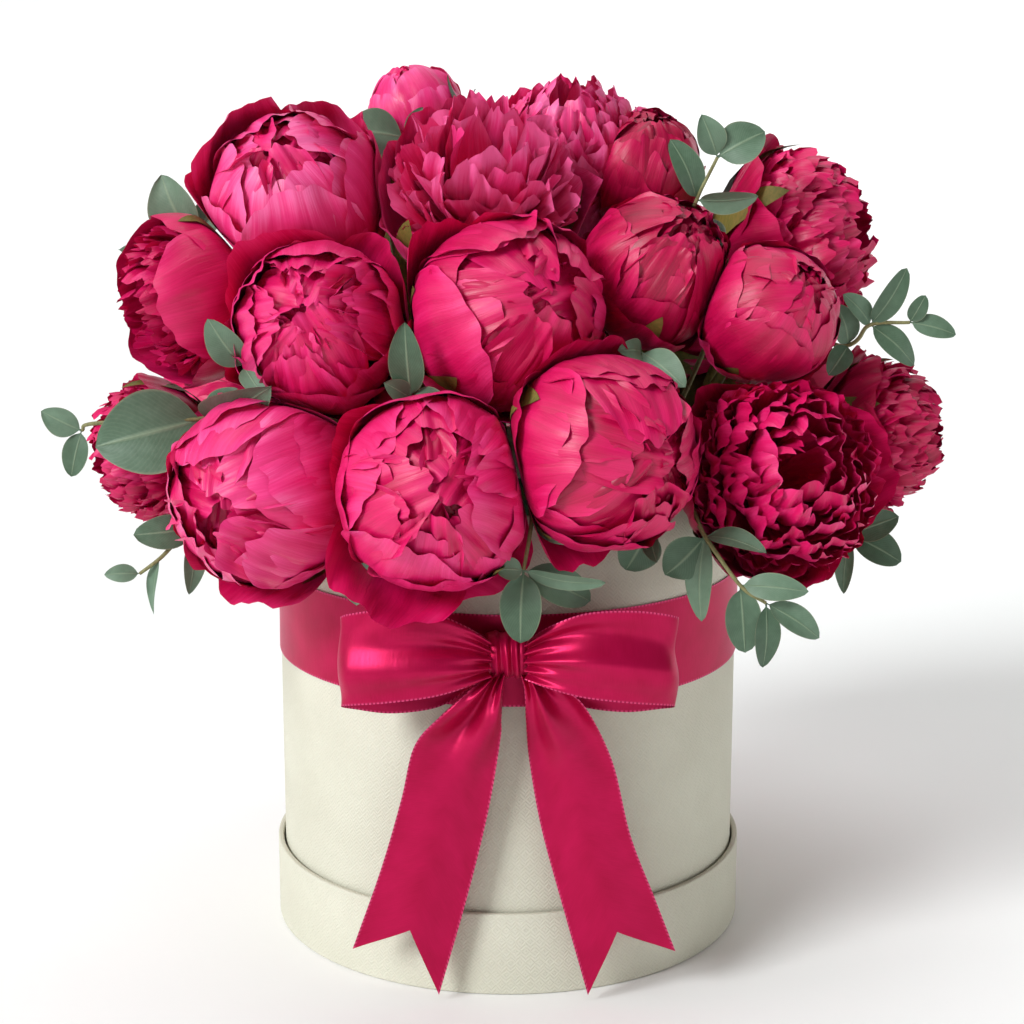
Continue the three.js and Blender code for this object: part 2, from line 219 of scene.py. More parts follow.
def smooth_curve(points, count):
    """A Catmull-Rom curve through the points, as an array of count points."""
    points = np.asarray(points, float)
    padded = np.vstack([2 * points[0] - points[1], points, 2 * points[-1] - points[-2]])
    places = np.linspace(0, len(points) - 1, count)
    spans = np.minimum(places.astype(int), len(points) - 2)
    t = (places - spans)[:, None]
    before, start, end, after = (padded[spans + k] for k in range(4))
    return 0.5 * (
        2 * start
        + (end - before) * t
        + (2 * before - 5 * start + 4 * end - after) * t**2
        + (3 * start - before - 3 * end + after) * t**3
    )


def even(path, count):
    """The same path with its points evenly spaced."""
    run = np.concatenate([[0], np.cumsum(np.linalg.norm(np.diff(path, axis=0), axis=1))])
    places = np.linspace(0, run[-1], count)
    return np.stack([np.interp(places, run, path[:, k]) for k in range(3)], 1)


# ------------------------------------------------------------------ meshes


class Sheets:
    """Grids of points gathered into one mesh, with a UV for each corner and a tone for each point."""

    def __init__(self):
        self.points, self.faces, self.uvs, self.tones, self.kinds = [], [], [], [], []
        self.count = 0

    def add(self, grid, across, along, tone, kind=0, closed=False):
        """grid is rows x columns x 3. across and along are its UVs, and tone its colour value."""
        rows, columns = shape = grid.shape[:2]
        index = np.arange(rows * columns).reshape(shape) + self.count
        uv = np.stack([np.broadcast_to(across, shape), np.broadcast_to(along, shape)], -1)
        if closed:
            # The closing column goes one step on, so that no pattern is squashed into it.
            index = np.hstack([index, index[:, :1]])
            uv = np.hstack([uv, 2 * uv[:, -1:] - uv[:, -2:-1]])
        quads = np.stack([index[:-1, :-1], index[:-1, 1:], index[1:, 1:], index[1:, :-1]], -1)
        corners = np.stack([uv[:-1, :-1], uv[:-1, 1:], uv[1:, 1:], uv[1:, :-1]], 2)
        self.points.append(grid.reshape(-1, 3))
        self.faces.append(quads.reshape(-1, 4))
        self.uvs.append(corners.reshape(-1, 2))
        self.tones.append(np.broadcast_to(tone, shape).reshape(-1))
        self.kinds.append(np.full(len(self.faces[-1]), kind))
        self.count += rows * columns

    def build(self, name, materials):
        """One object from all the grids, each with the material that its kind counts to."""
        points = np.vstack(self.points)
        faces = np.vstack(self.faces)
        uvs = np.vstack(self.uvs)
        mesh = bpy.data.meshes.new(name)
        mesh.from_pydata(points.tolist(), [], faces.tolist())
        layer = mesh.uv_layers.new(name="UVMap")
        layer.data.foreach_set("uv", uvs.reshape(-1))
        tone = mesh.attributes.new("tone", "FLOAT", "POINT")
        tone.data.foreach_set("value", np.concatenate(self.tones).astype(np.float32))
        mesh.polygons.foreach_set("use_smooth", np.ones(len(faces), bool))
        for material in materials:
            mesh.materials.append(material)
        mesh.polygons.foreach_set("material_index", np.concatenate(self.kinds).astype(np.int32))
        mesh.update()
        piece = bpy.data.objects.new(name, mesh)
        bpy.context.scene.collection.objects.link(piece)
        return piece


def tube_grid(path, radii, sides=8):
    """Rings round a path, as a grid that closes on itself sideways."""
    off_axis = [0.31, 0.87, 0.39]
    path = np.asarray(path, float)
    tangent = np.gradient(path, axis=0)
    tangent /= np.linalg.norm(tangent, axis=1)[:, None]
    side = unit(np.cross(tangent[0], off_axis))
    rings = []
    for point, along, radius in zip(path, tangent, radii):
        side = unit(side - along * side.dot(along))
        other = np.cross(along, side)
        angles = np.arange(sides) / sides * 2 * math.pi
        rings.append(point + radius * (np.cos(angles)[:, None] * side + np.sin(angles)[:, None] * other))
    return np.array(rings)


def assign(piece, body, node):
    """Hang a piece on the empty of its body and hide the node of the model that it stands for."""
    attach(piece, body)
    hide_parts(node)


# ------------------------------------------------------------------ petals


def bezier(controls, t):
    """A cubic curve of (distance from the axis, height), and its tangent, at each t."""
    a, b, c, d = (np.asarray(p, float) for p in controls)
    t = t[..., None]
    place = a * (1 - t) ** 3 + 3 * b * t * (1 - t) ** 2 + 3 * c * t**2 * (1 - t) + d * t**3
    slope = 3 * (b - a) * (1 - t) ** 2 + 6 * (c - b) * t * (1 - t) + 3 * (d - c) * t**2
    return place, slope


def wrap_line(radius, start, end, lift=0.0):
    """A centre line that hugs a ball from one polar angle to another, and lifts at its tip."""

    def line(t):
        polar = np.radians(start + (end - start) * t)
        reach = radius * (1 + lift * t**3)
        place = np.stack([reach * np.sin(polar), reach * np.cos(polar)], -1)
        turn = math.copysign(1, end - start)
        slope = np.stack([turn * np.cos(polar), -turn * np.sin(polar)], -1)
        return place, slope

    return line


def fan_line(base, tip, lean, rise):
    """A centre line from deep in the head up to a tip, where it leans by an angle from the axis."""
    direction = np.array([math.sin(lean), math.cos(lean)])
    base, tip = np.asarray(base, float), np.asarray(tip, float)
    length = np.linalg.norm(tip - base)
    spread = base + np.array([0.45, 0.12]) * length * rise
    before = tip - direction * 0.42 * length
    return lambda t: bezier((base, spread, before, tip), t)


def leaning(angle, bearing):
    """A turning matrix that tips the head's axis by an angle towards a bearing."""
    axis = np.array([-math.sin(bearing), math.cos(bearing), 0])
    cross = np.array([[0, -axis[2], axis[1]], [axis[2], 0, -axis[0]], [-axis[1], axis[0], 0]])
    return np.eye(3) + math.sin(angle) * cross + (1 - math.cos(angle)) * cross @ cross


def petal(sheets, rng, line, bearing, half_width, *, cup=1.0, ruffle=0.0, waves=2.0, notch=0.0, teeth=3,
          rounding=0.35, neck=0.35, crease=0.0, roll=0.0, twist=0.0, tilt=0.0, size=(15, 13), tone=0.5):
    """One petal, in the head's own frame, where +Z is the way that the head opens.

    The petal follows its centre line. half_width is its widest, neck how narrow its base is, cup how
    much it wraps, ruffle how far its margin waves, notch how deep the cuts in its tip are, crease the
    depth of its lengthwise folds, roll how far its margin turns outward, and tilt how many degrees the
    whole petal is out of true.
    """
    rows, columns = size
    u = np.linspace(-1, 1, columns)[None, :]
    phase = rng.uniform(0, 2 * math.pi, 6)
    cuts = np.sin(teeth * 0.5 * math.pi * u + phase[0]) ** 4
    fringe = 0.2 * np.sin(1.7 * teeth * math.pi * u + phase[1])
    end = 1 - rounding * np.abs(u) ** 2.8 - notch * (cuts + fringe)
    s = np.linspace(0, 1, rows)[:, None] * end
    place, slope = line(s)
    slope = slope / np.maximum(np.linalg.norm(slope, axis=-1, keepdims=True), 1e-9)
    outward = np.stack([slope[..., 1], -slope[..., 0]], -1)
    widen = neck + (1 - neck) * np.sin(0.5 * math.pi * np.minimum(s / 0.62, 1)) ** 1.2
    x = u * half_width * widen * (1 - 0.22 * smooth_step(0.7, 1, s))
    margin = np.maximum(s**2, 0.55 * np.abs(u) ** 3 * s)
    push = ruffle * margin * np.sin(waves * math.pi * u + phase[2] + 1.5 * s)
    push = push + 0.4 * ruffle * margin * np.sin(2.7 * waves * math.pi * u + phase[3] + 3 * s)
    folds = np.abs(np.sin(2.1 * math.pi * u + phase[4] + 0.8 * np.sin(2.5 * s + phase[5])))
    push = push + crease * (folds - 0.6) * np.sin(math.pi * np.clip(s * 0.95, 0, 1))
    push = push + crease * 0.8 * np.sin(3.1 * s * math.pi + phase[1]) * np.sin(1.3 * math.pi * u + phase[0])
    push = push + roll * (np.abs(u) ** 4 * s + smooth_step(0.82, 1, s / end) * s)
    away = place[..., 0] + outward[..., 0] * push
    height = place[..., 1] + outward[..., 1] * push
    radial = np.array([math.cos(bearing), math.sin(bearing), 0])
    sideways = np.array([-math.sin(bearing), math.cos(bearing), 0])
    centre = away[..., None] * radial + height[..., None] * np.array([0, 0, 1.0])
    distance = np.linalg.norm(centre, axis=-1)
    reach = np.maximum(distance, 0.9 * half_width)
    angle = x / reach
    normal = outward[..., :1] * radial + outward[..., 1:] * np.array([0, 0, 1.0])
    across = sideways * math.cos(twist) + normal * math.sin(twist)
    grid = centre * (1 - cup * (1 - np.cos(angle)))[..., None] + (reach * np.sin(angle))[..., None] * across
    grid = grid @ leaning(math.radians(tilt), phase[0]).T
    # The lower half of each petal, towards its base deep in or under the head, is darkened: painted shade.
    # The tip and the side margins are made paler.
    shade = tone + 0.16 * smooth_step(0.8, 1.0, s / end) - 0.16 * (1 - smooth_step(0.0, 0.5, s))
    shade = shade + 0.10 * smooth_step(0.75, 1.0, np.abs(u))
    offset = rng.uniform(0, 30)
    sheets.add(grid, u * half_width / (12 * MM) + offset, s + offset, shade)


def guards(sheets, rng, radius, count, tip, *, width=0.85, spread=8, base=172, lift=0.0, **shape):
    """A ring of broad petals that wrap the head from its base up to a polar angle."""
    first = rng.uniform(0, 2 * math.pi)
    for k in range(count):
        bearing = first + (k + rng.uniform(-0.12, 0.12)) * 2 * math.pi / count
        end = tip(bearing) if callable(tip) else tip
        end += rng.uniform(-spread, spread)
        line = wrap_line(radius * (1 + 0.012 * k), base, end, lift=lift * rng.uniform(0.5, 1.3))
        half_width = width * radius * rng.uniform(0.88, 1.12)
        options = {"size": (30, 25), "crease": 0.02 * radius, "ruffle": 0.022 * radius, "notch": 0.022}
        options.update({"rounding": 0.13, "roll": 0.02 * radius, "tilt": 7}, **shape)
        options["roll"] *= rng.uniform(-0.2, 2.0)
        options["tilt"] *= rng.uniform(0.2, 1.0)
        tone = options.pop("tone", 0.5) + rng.uniform(-0.07, 0.07)
        petal(sheets, rng, line, bearing, half_width, tone=tone, **options)


def ruffles(sheets, rng, radius, count, inner, outer, *, hollow=0.2, width=(0.2, 0.3), tone=0.5,
            ruffle=0.04, notch=0.05, flare=(-38, 40), deep=-0.45, rounding=0.32, size=(14, 15)):
    """Short ruffled petals in a golden spiral, from near the axis out to a polar angle."""
    for k in range(count):
        part = (k + 0.5) / count
        polar = math.radians(inner + (outer - inner) * part**0.62 + rng.uniform(-4, 4))
        reach = radius * (1 - hollow * (1 - part) ** 1.5) * rng.uniform(0.95, 1.03)
        tip = (reach * math.sin(polar), reach * math.cos(polar))
        base = (0.12 * radius * part, deep * radius)
        lean = math.radians(flare[0] + (flare[1] - flare[0]) * part + rng.uniform(-12, 12))
        line = fan_line(base, tip, lean, 0.25 + 0.9 * part)
        # Petals nearer the axis, deep in the opening, are darker (tone - 0.1 at the axis): painted shade.
        petal(
            sheets, rng, line, k * GOLDEN_ANGLE + rng.uniform(-0.15, 0.15),
            radius * rng.uniform(*width), cup=1.3, ruffle=ruffle * radius, waves=rng.uniform(1.0, 1.8),
            notch=notch * rng.uniform(0.4, 1.3), teeth=int(rng.integers(2, 5)), rounding=rounding,
            neck=0.3, crease=0.014 * radius, twist=rng.uniform(-0.4, 0.4), size=size,
            tone=tone + rng.uniform(-0.12, 0.12) - 0.1 * (1 - part),
        )


def skirt(sheets, rng, radius, count, tone, *, tip=96, lift=0.2, width=0.8):
    """Loose petals that stand away from the bottom of a head."""
    guards(sheets, rng, radius, count, tip, width=width, tone=tone, spread=12, lift=lift,
           ruffle=0.05 * radius, crease=0.02 * radius)


def heart(sheets, rng, radius, tone, *, mouth=26):
    """The crumpled petals that fill the opening of a ball."""
    # The deeper rings are darker (tone - 0.14, then - 0.08): painted shade inside the opening.
    guards(sheets, rng, 0.8 * radius, 4, -8, width=0.5, spread=4, tone=tone - 0.14, base=90, tilt=22,
           ruffle=0.04 * radius, crease=0.04 * radius)
    guards(sheets, rng, 0.86 * radius, 5, 2, width=0.4, spread=4, tone=tone - 0.14, base=100, tilt=16,
           ruffle=0.05 * radius, crease=0.04 * radius, waves=2.2)
    guards(sheets, rng, 0.91 * radius, 5, 0.4 * mouth, width=0.42, spread=5, tone=tone - 0.08, base=100,
           tilt=20, ruffle=0.05 * radius, crease=0.03 * radius, waves=1.8, roll=0.07 * radius)
    ruffles(sheets, rng, 0.975 * radius, 9, 0.3 * mouth, mouth, hollow=0.03, width=(0.18, 0.3),
            tone=tone, flare=(-45, -5), ruffle=0.07)


def bud(sheets, rng, radius, tone):
    """A half-open ball: broad petals wrapped close, with crumpled ones in the opening."""
    heart(sheets, rng, radius, tone)
    guards(sheets, rng, 0.945 * radius, 5, 21, width=0.5, tone=tone - 0.02, spread=9, notch=0.03,
           roll=0.05 * radius, tilt=14)
    guards(sheets, rng, 0.96 * radius, 4, 31, width=0.72, tone=tone, spread=12, roll=0.04 * radius, tilt=10)
    guards(sheets, rng, 0.975 * radius, 4, 43, width=0.8, tone=tone + 0.06, spread=10)
    guards(sheets, rng, 0.99 * radius, 4, 60, width=0.82, tone=tone, spread=12, roll=0.03 * radius)
    skirt(sheets, rng, 1.01 * radius, 4, tone - 0.05)


def slit_bud(sheets, rng, radius, tone):
    """A ball whose petals meet along an upright slit."""

    def lips(bearing):
        return 7 + 24 * abs(math.sin(bearing)) ** 2

    heart(sheets, rng, 0.98 * radius, tone - 0.05, mouth=24)
    guards(sheets, rng, 0.94 * radius, 6, lips, width=0.5, tone=tone - 0.03, spread=4, notch=0.03,
           roll=0.035 * radius)
    guards(sheets, rng, 0.96 * radius, 5, lambda bearing: 11 + lips(bearing), width=0.66, tone=tone,
           spread=7, roll=0.03 * radius)
    guards(sheets, rng, 0.98 * radius, 4, 44, width=0.8, tone=tone + 0.06, spread=9)
    guards(sheets, rng, 1.0 * radius, 4, 64, width=0.82, tone=tone, spread=10, roll=0.03 * radius)
    skirt(sheets, rng, 1.03 * radius, 4, tone - 0.05, tip=102, lift=0.3)


def tight_bud(sheets, rng, radius, tone):
    """A young ball, nearly shut, with smooth wide petals."""
    heart(sheets, rng, 0.97 * radius, tone - 0.05, mouth=15)
    guards(sheets, rng, 0.93 * radius, 5, 10, width=0.45, tone=tone - 0.05, spread=4)
    guards(sheets, rng, 0.96 * radius, 4, 19, width=0.66, tone=tone, spread=7)
    guards(sheets, rng, 0.98 * radius, 4, 34, width=0.85, tone=tone + 0.04, spread=8)
    guards(sheets, rng, 1.0 * radius, 4, 58, width=0.88, tone=tone, spread=10)
    skirt(sheets, rng, 1.02 * radius, 3, tone - 0.06, lift=0.12)


def rose(sheets, rng, radius, tone):
    """A cup of broad petals round folds of fringed ones."""
    heart(sheets, rng, 0.92 * radius, tone + 0.04, mouth=22)
    for ring in range(4):
        shrink = 0.83 + 0.035 * ring
        guards(sheets, rng, shrink * radius, 4, 17 + 10 * ring, width=0.5 + 0.08 * ring, spread=7,
               tone=tone + 0.05 - 0.02 * ring, teeth=5, ruffle=0.04 * radius, waves=2.2,
               roll=0.05 * radius)
    guards(sheets, rng, 0.98 * radius, 4, 58, width=0.9, tone=tone, spread=10, roll=0.02 * radius)
    skirt(sheets, rng, 1.01 * radius, 4, tone - 0.05, tip=84)


def cup(sheets, rng, radius, tone):
    """A pale inner ball in a cup of petals that stand up round it."""
    heart(sheets, rng, 0.93 * radius, tone + 0.02, mouth=20)
    guards(sheets, rng, 0.90 * radius, 5, 15, width=0.55, tone=tone + 0.08, spread=6, roll=0.02 * radius)
    guards(sheets, rng, 0.93 * radius, 5, 30, width=0.7, tone=tone + 0.05, spread=8, roll=0.04 * radius)
    guards(sheets, rng, 0.97 * radius, 5, 47, width=0.78, tone=tone, spread=12, lift=0.14,
           roll=0.03 * radius)
    skirt(sheets, rng, 1.0 * radius, 5, tone - 0.05, tip=74)


def bomb(sheets, rng, radius, tone):
    """A full head of short petals that curl in over each other, over a skirt of broad ones."""
    ruffles(sheets, rng, radius, 105, 6, 100, tone=tone + 0.16, flare=(-62, 18), hollow=0.24,
            width=(0.24, 0.36), rounding=0.2, notch=0.06, ruffle=0.05, size=(14, 17))
    skirt(sheets, rng, 0.96 * radius, 6, tone - 0.04, tip=92)


def loose(sheets, rng, radius, tone):
    """A wide-open head, with long petals that stand up and lean out."""
    ruffles(sheets, rng, 1.03 * radius, 72, 6, 92, hollow=0.06, width=(0.28, 0.42), tone=tone + 0.12,
            flare=(-20, 62), rounding=0.45, ruffle=0.06, size=(17, 17))
    skirt(sheets, rng, 0.98 * radius, 6, tone - 0.04, tip=86)


def shell(sheets, rng, radius, tone):
    """A head of narrow petals half covered by large smooth ones."""
    ruffles(sheets, rng, 0.98 * radius, 85, 8, 96, tone=tone + 0.1, width=(0.24, 0.36), rounding=0.2,
            notch=0.06, ruffle=0.05, size=(14, 17))
    guards(sheets, rng, 1.0 * radius, 5, 66, width=0.95, tone=tone + 0.04, spread=16, lift=0.05,
           notch=0.02, crease=0.008 * radius)


KINDS = {
    "bud": bud, "slit_bud": slit_bud, "tight_bud": tight_bud, "rose": rose,
    "cup": cup, "bomb": bomb, "loose": loose, "shell": shell,
}


def head_planes(name):
    """The planes that hold a head back from its neighbours and from the box's rim."""
    bearing, reach, height, size = PEONIES[name][:4]
    middle = on_bearing(bearing, reach, height)
    planes = []
    for other, (turn, out, up, wide, *_) in PEONIES.items():
        apart = on_bearing(turn, out, up) - middle
        distance = np.linalg.norm(apart)
        if other == name or distance > NEIGHBOUR_REACH * (size + wide) * MM:
            continue
        planes.append((apart / distance, (distance**2 + (size**2 - wide**2) * MM**2) / (2 * distance)))
    to_rim = on_bearing(bearing, BOX_RADIUS / MM, BOX_TOP / MM) - middle
    planes.append((unit(to_rim), np.linalg.norm(to_rim) - RIM_GAP))
    return planes


def press(points, planes):
    """Points most of the way to a plane are eased back, and none passes it."""
    least = 0.05
    distance = np.linalg.norm(points, axis=1)
    direction = points / np.maximum(distance, 1e-9)[:, None]
    room = np.full(len(points), 1.0)
    for normal, away in planes:
        toward = direction @ normal
        room = np.where(toward > least, np.minimum(room, away / np.maximum(toward, least)), room)
    knee = PRESS_KNEE * room
    give = room - knee
    eased = knee + give * (1 - np.exp(-np.maximum(distance - knee, 0) / give))
    return direction * np.where(distance > knee, eased, distance)[:, None]


def head_frame(axis):
    """A turning matrix whose third column is the axis and whose second leans to +Z."""
    side = unit(np.cross([0, 0, 1.0], axis))
    return np.stack([side, np.cross(axis, side), axis], 1)


def peony_head(name, material):
    """The petals of one peony, turned the way it faces and pressed by its neighbours."""
    bearing, reach, height, size, kind, turn, rise, pale = PEONIES[name]
    rng = np.random.default_rng(sum(name.encode()) + size)
    sheets = Sheets()
    # pale sets the head's tone; on several heads at the right side its low value is partly painted shade.
    KINDS[kind](sheets, rng, size * MM, pale)
    middle = on_bearing(bearing, reach, height)
    turned = np.vstack(sheets.points) @ head_frame(facing(turn, rise)).T
    sheets.points = [press(turned, head_planes(name)) + middle]
    head = sheets.build(f"head_{name}", [material])
    assign(head, "box", f"peony_{name}")


# ------------------------------------------------------------------ stems and leaves


def stem_path(name):
    """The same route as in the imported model: up from the foam, and over the rim if low."""
    bearing, reach, height = PEONIES[name][:3]
    points = [on_bearing(bearing, 0.4 * reach, STEM_FOOT), on_bearing(bearing, 0.5 * reach, 180)]
    if reach > 115 and height < 240:
        points.append(on_bearing(bearing, 84, BOX_TOP / MM + 6))
    points.append(on_bearing(bearing, reach, height))
    return smooth_curve(points, 40)


def leaf_grid(base, tip, width, rng, *, bend, fold, roll, fullness, stalk=0.08, size=(19, 9)):
    """A leaf between its base and its tip, bent along and folded up at its midrib."""
    rows, columns = size
    along = unit(tip - base)
    length = np.linalg.norm(tip - base)
    outward = unit(np.array([base[0] + tip[0], base[1] + tip[1], 1e-6]))
    to_front = smooth_step(60 * MM, 0, 0.5 * (base[1] + tip[1]))
    outward = unit(outward * (1 - 0.7 * to_front) + np.array([0, -1, 0.3]) * to_front)
    across = unit(np.cross(outward, along))
    face = np.cross(along, across)
    across, face = (
        across * math.cos(roll) + face * math.sin(roll),
        face * math.cos(roll) - across * math.sin(roll),
    )
    s = np.linspace(0, 1, rows)[:, None]
    u = np.linspace(-1, 1, columns)[None, :]
    blade = np.clip((s - stalk) / (1 - stalk), 0, 1)
    half = 0.5 * width * np.sin(math.pi * blade**0.82) ** fullness + 0.03 * width * (1 - blade)
    wave = 0.03 * width * np.sin(5 * s + 2 * u + rng.uniform(0, 6))
    rise = bend * length * np.sin(math.pi * s) + fold * half * np.abs(u) ** 1.5 + wave * np.abs(u)
    spine = base + along * length * s[..., None]
    return spine + across * (u * half)[..., None] + face * rise[..., None], u, s


def sprig(name, leaf_material, stem_material):
    """One sprig. A leaf that the photo shows edge-on is built wider and turned."""
    stem, leaves = SPRIGS[name]
    rng = np.random.default_rng(sum(name.encode()))
    points = np.array(stem, float) * MM
    sheets = Sheets()
    path = smooth_curve(points, 12 * len(points))
    radii = np.linspace(1.15, 0.7, len(path)) * MM
    sheets.add(tube_grid(path, radii), 0.5, 0.5, 0.5, kind=1, closed=True)
    for joint, tip, width in leaves:
        tip = np.array(tip, float) * MM
        length = np.linalg.norm(tip - points[joint]) / MM
        edge_on = width < 0.36 * length
        grid, u, s = leaf_grid(
            points[joint], tip, width * (1.35 if edge_on else 1.06) * MM, rng,
            bend=rng.uniform(0.04, 0.13), roll=rng.choice([-1, 1]) * (0.75 if edge_on else 0.15),
            fold=rng.uniform(0.12, 0.35), fullness=rng.uniform(0.5, 0.72),
        )
        sheets.add(grid, u, s, rng.uniform(0.2, 0.8))
    piece = sheets.build(f"sprig_{name}", [leaf_material, stem_material])
    assign(piece, "box", f"eucalyptus_{name}")


def peony_stem(name, material):
    """The stem of a peony with the sepals that hold its head."""
    bearing, reach, height, size, _, turn, rise, _ = PEONIES[name]
    rng = np.random.default_rng(sum(name.encode()) + 7)
    sheets = Sheets()
    axis = facing(turn, rise)
    path = stem_path(name)
    middle = on_bearing(bearing, reach, height)
    neck = middle - axis * 0.8 * size * MM
    joined = smooth_curve([path[0], path[12], path[24], 0.5 * (path[32] + neck), neck], 40)
    sheets.add(tube_grid(joined, np.full(len(joined), STEM_RADIUS)), 0.5, 0.5, 0.35, closed=True)
    turning = head_frame(axis)
    planes = head_planes(name)
    for k in range(5):
        angle = k * GOLDEN_ANGLE * 0.55 + rng.uniform(-0.2, 0.2)
        around = turning @ np.array([math.cos(angle), math.sin(angle), 0])
        base = -axis * size * MM
        tip = around * size * MM + axis * rng.uniform(-0.4, 0.25) * size * MM
        s = np.linspace(0, 1, 13)[:, None]
        u = np.linspace(-1, 1, 7)[None, :]
        spine = base * (1 - s) + tip * s
        spine = spine / np.linalg.norm(spine, axis=1)[:, None] * size * MM * (1.06 - 0.02 * s)
        half = 0.24 * size * MM * np.sin(math.pi * (0.12 + 0.88 * s) ** 0.8) ** 0.8
        across = unit(np.cross(axis, around))
        grid = spine[:, None, :] + across * (u * half)[..., None]
        grid = press(grid.reshape(-1, 3), planes).reshape(grid.shape) + middle
        sheets.add(grid, u, s, rng.uniform(0.3, 0.8))
    piece = sheets.build(f"stem_{name}", [material])
    assign(piece, "box", f"peony_{name}")


# ------------------------------------------------------------------ box


def turned(name, profile, material, body, node, slot, sides=192):
    """A round piece from its outline, in (radius, height), with lengths round it and along it as UVs.

    The paper's join is at the back, where the wrap of such a box meets.
    """
    profile = np.asarray(profile, float)
    angles = np.arange(sides) / sides * 2 * math.pi
    from_back = angles + 0.5 * math.pi
    grid = np.stack([
        profile[:, :1] * np.cos(from_back), profile[:, :1] * np.sin(from_back),
        np.repeat(profile[:, 1:], sides, 1),
    ], -1)
    sheets = Sheets()
    run = np.concatenate([[0], np.cumsum(np.linalg.norm(np.diff(profile, axis=0), axis=1))])
    sheets.add(grid, (angles * BOX_RADIUS)[None, :], run[:, None], 0.5, closed=True)
    piece = sheets.build(name, [material])
    assign(piece, body, node)


def rounded(corners, radius, steps=4):
    """The closed outline through the corners, with each corner rounded."""
    corners = [np.array(c, float) for c in corners]
    outline = []
    for k, corner in enumerate(corners):
        before = unit(corners[k - 1] - corner)
        after = unit(corners[(k + 1) % len(corners)] - corner)
        start, end = corner + before * radius, corner + after * radius
        for t in np.linspace(0, 1, steps):
            outline.append(start * (1 - t) ** 2 + 2 * corner * t * (1 - t) + end * t**2)
    outline.append(outline[0])
    return outline


def ring_outline(node):
    """The wall of a round node, from its own box and the thickness of the board."""
    low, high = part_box(node)
    inner = high.x - BOARD
    corners = [(high.x, low.z), (high.x, high.z), (inner, high.z), (inner, low.z)]
    return rounded(corners, 0.3 * BOARD)


def disc_outline(node):
    """A round panel with its edges taken off."""
    low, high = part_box(node)
    edge = 0.4 * MM
    return [(0, high.z), (high.x - edge, high.z), (high.x, high.z - edge),
            (high.x, low.z + edge), (high.x - edge, low.z), (0, low.z)][::-1]


def make_box(paper, lining, plastic):
    """The box, the lid that it stands in and the tub inside it."""
    turned("wall", ring_outline("box_wall"), paper, "box", "box_wall", "cream_paper")
    turned("lid_side", ring_outline("lid_rim"), paper, "lid", "lid_rim", "cream_paper")
    turned("lid_top", disc_outline("lid_panel"), paper, "lid", "lid_panel", "cream_paper")
    turned("bottom", disc_outline("box_floor"), lining, "box", "box_floor", "cream_lining")
    low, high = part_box("liner")
    inside, inner_floor = high.x - TUB_WALL, low.z + TUB_WALL
    tub = [(0, low.z), (high.x - 3 * MM, low.z), (high.x, low.z + 3 * MM), (high.x, high.z),
           (inside, high.z), (inside, low.z + 3.5 * MM), (high.x - 4 * MM, inner_floor),
           (0, inner_floor)]
    turned("tub", tub, plastic, "box", "liner", "liner_plastic")


# ------------------------------------------------------------------ ribbon


def ribbon_piece(name, grid, material, node):
    """A length of ribbon from its grid, whose columns run across it."""
    columns = grid.shape[1]
    sheets = Sheets()
    run = np.linalg.norm(np.diff(grid[:, columns // 2], axis=0), axis=1)
    along = np.concatenate([[0], np.cumsum(run)])[:, None]
    sheets.add(grid, np.linspace(0, 1, columns)[None, :], along / RIBBON_WIDTH, 0.5)
    piece = sheets.build(name, [material])
    assign(piece, "box", node)


def make_band(material):
    """The ribbon round the box, with slight waves."""
    low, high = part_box("ribbon_band")
    angles = np.linspace(-0.5 * math.pi, 1.5 * math.pi, 257)[:, None]
    t = np.linspace(0, 1, 13)[None, :]
    reach = high.x - 0.25 * MM + 0.18 * MM * np.sin(3 * angles + 4 * t) * np.sin(math.pi * t)
    height = low.z + RIBBON_WIDTH * t + 0.25 * MM * np.sin(2 * angles)
    grid = np.stack([reach * np.cos(angles), reach * np.sin(angles), height], -1)
    ribbon_piece("band", grid, material, "ribbon_band")


def make_loop(side, material, node, rng):
    """One loop of the bow: out from the knot along the front, round its end and back behind."""
    route = [
        (7, -117.5, 147), (16, -121.5, 149.5), (30, -124.5, 151), (48, -123.5, 150), (61, -119, 147.5),
        (65.6, -114.5, 145), (60, -107.5, 142), (46, -104.8, 140), (28, -105, 141), (15, -108, 144.5),
        (7, -111, 146.5),
    ]
    halves = [7.5, 11.5, 16.2, 18.6, 19.2, 19.3, 19.2, 18.8, 16.5, 11.5, 7.5]
    rows, columns = 121, 61
    route = smooth_curve(np.array(route) * MM, rows)
    halves = smooth_curve(np.stack([halves] * 3, 1) * MM, rows)[:, :1]
    t = np.linspace(-1, 1, columns)[None, :]
    s = np.linspace(0, 1, rows)[:, None]
    grid = np.repeat(route[:, None, :], columns, 1)
    grid[..., 2] += halves * t
    tangent = np.gradient(route[:, :2], axis=0)
    normal = np.stack([tangent[:, 1], -tangent[:, 0]], 1)
    normal /= np.linalg.norm(normal, axis=1)[:, None]
    to_knot = np.minimum(s, 1 - s)
    gather = np.exp(-((to_knot / 0.13) ** 1.4))
    soft = np.exp(-((to_knot / 0.24) ** 2))
    phase = rng.uniform(0, 2 * math.pi, 3)
    fold = 1.7 * gather * np.cos(4.5 * math.pi * t + phase[0])
    fold = fold + 2.6 * soft * np.cos(2.1 * math.pi * t + phase[1] + 2.5 * s) * (1 - gather)
    fold = fold + 0.7 * np.sin(1.3 * math.pi * t + phase[2] + 5 * s) * (1 - soft)
    front = smooth_step(0.5, 0.38, s)
    bulge = 6.0 * np.exp(-(((t + 0.35) / 0.55) ** 2))
    fold = fold + bulge * (1 - gather) * front
    grid[..., :2] += (fold * MM)[..., None] * normal[:, None, :]
    grid[..., 2] += 1.2 * MM * np.sin(7 * s + 1.2) * (1 - gather) * t
    if side < 0:
        grid[..., 0] *= -1
        grid = grid[:, ::-1]
    name = "loop_right" if side > 0 else "loop_left"
    ribbon_piece(name, grid, material, node)


